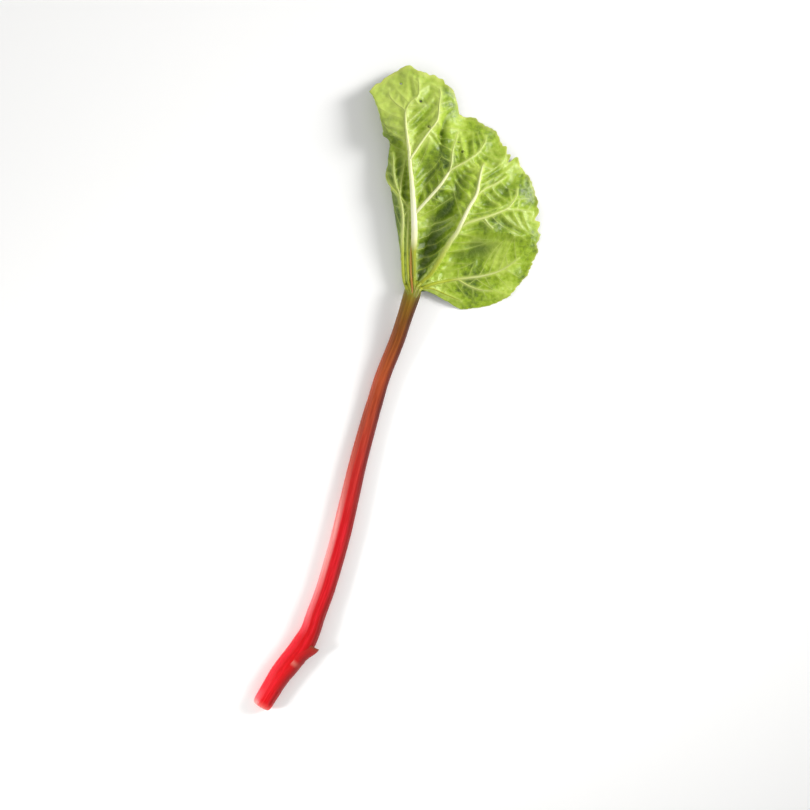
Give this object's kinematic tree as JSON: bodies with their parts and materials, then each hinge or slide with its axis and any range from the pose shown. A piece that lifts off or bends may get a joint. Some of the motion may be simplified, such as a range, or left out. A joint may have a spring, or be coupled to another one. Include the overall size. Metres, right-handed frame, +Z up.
{
  "type": "rhubarb stalk",
  "caption": "Pulled rhubarb stalk with its leaf, lying face down: a curved red leafstalk with a flat inner side, a scrap of sheath at its base and a half-folded, veined leaf.",
  "frame": {"origin": "middle of the footprint, on the surface it lies on", "axes": "+Z up, +Y along the stalk from the pulled base towards the leaf tip, +X to the right when the leaf points away"},
  "size_m": [0.2886, 0.6456, 0.0328],
  "materials": {
    "stalk_skin": "waxy, faintly ribbed skin of a red leafstalk",
    "sheath_skin": "thin deep red sheath with a dry edge",
    "leaf_underside": "matt, veined underside of a leaf"
  },
  "bodies": {
    "root": {"stalk": "stalk_skin", "base_sheath": "sheath_skin", "leaf_blade": "leaf_underside"}
  },
  "joints": []
}
